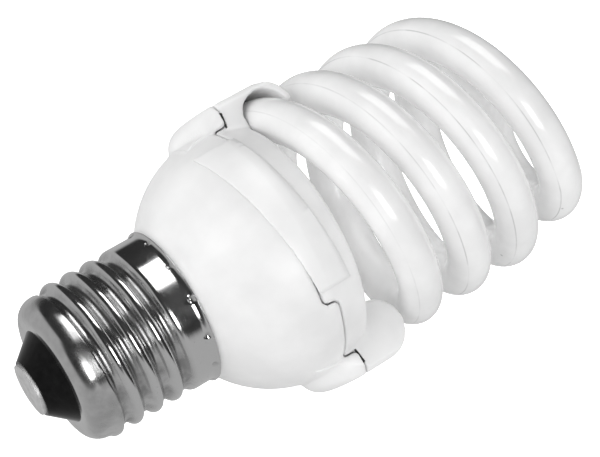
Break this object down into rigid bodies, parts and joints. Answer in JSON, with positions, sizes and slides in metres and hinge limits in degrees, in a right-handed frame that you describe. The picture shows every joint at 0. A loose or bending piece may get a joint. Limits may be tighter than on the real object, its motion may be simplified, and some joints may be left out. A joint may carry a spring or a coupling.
{
  "type": "spiral energy-saving bulb",
  "caption": "Compact fluorescent bulb with a white double spiral tube, white plastic ballast housing and a large screw cap.",
  "frame": {"origin": "centre of the contact face at the end of the cap", "axes": "+Z along the bulb's axis, out of the cap towards the holder; +X through the collar whose tube leaves towards -Y; the spiral hangs down -Z"},
  "size_m": [0.0498, 0.0468, 0.097],
  "materials": {
    "plated_shell": "bright nickel plate over rolled sheet",
    "black_glass": "gloss black fused glass",
    "contact_metal": "dull tinned disc",
    "white_plastic": "satin moulded plastic",
    "white_tube": "gloss glass, white coated inside",
    "cement": "matt",
    "label_film": "satin bare film",
    "board_laminate": "matt laminate",
    "tinned_wire": "bright",
    "capacitor_sleeve": "gloss shrink sleeve",
    "ferrite": "matt",
    "bobbin_plastic": "matt",
    "copper_wire": "enamelled",
    "black_resin": "matt",
    "film_capacitor": "dipped gloss",
    "resistor_coat": "matt lacquer",
    "wire_sleeve": "satin"
  },
  "bodies": {
    "root": {"screw_shell": "plated_shell", "cap_insulator": "black_glass", "centre_contact": "contact_metal", "lower_housing": "white_plastic", "upper_cover": "white_plastic", "spiral_tube": "white_tube", "tube_cement": "cement", "rating_label": "label_film", "circuit_board": "board_laminate", "wrap_posts": "tinned_wire", "bulk_capacitor": "capacitor_sleeve", "choke_core": "ferrite", "choke_bobbin": "bobbin_plastic", "choke_winding": "copper_wire", "drive_toroid": "ferrite", "filter_choke": "ferrite", "switching_transistors": "black_resin", "start_capacitor": "film_capacitor", "coupling_capacitor": "film_capacitor", "rectifier_diodes": "black_resin", "base_resistors": "resistor_coat", "fuse_resistor": "resistor_coat", "live_lead": "wire_sleeve", "neutral_lead": "wire_sleeve", "filament_leads": "tinned_wire"}
  },
  "joints": []
}
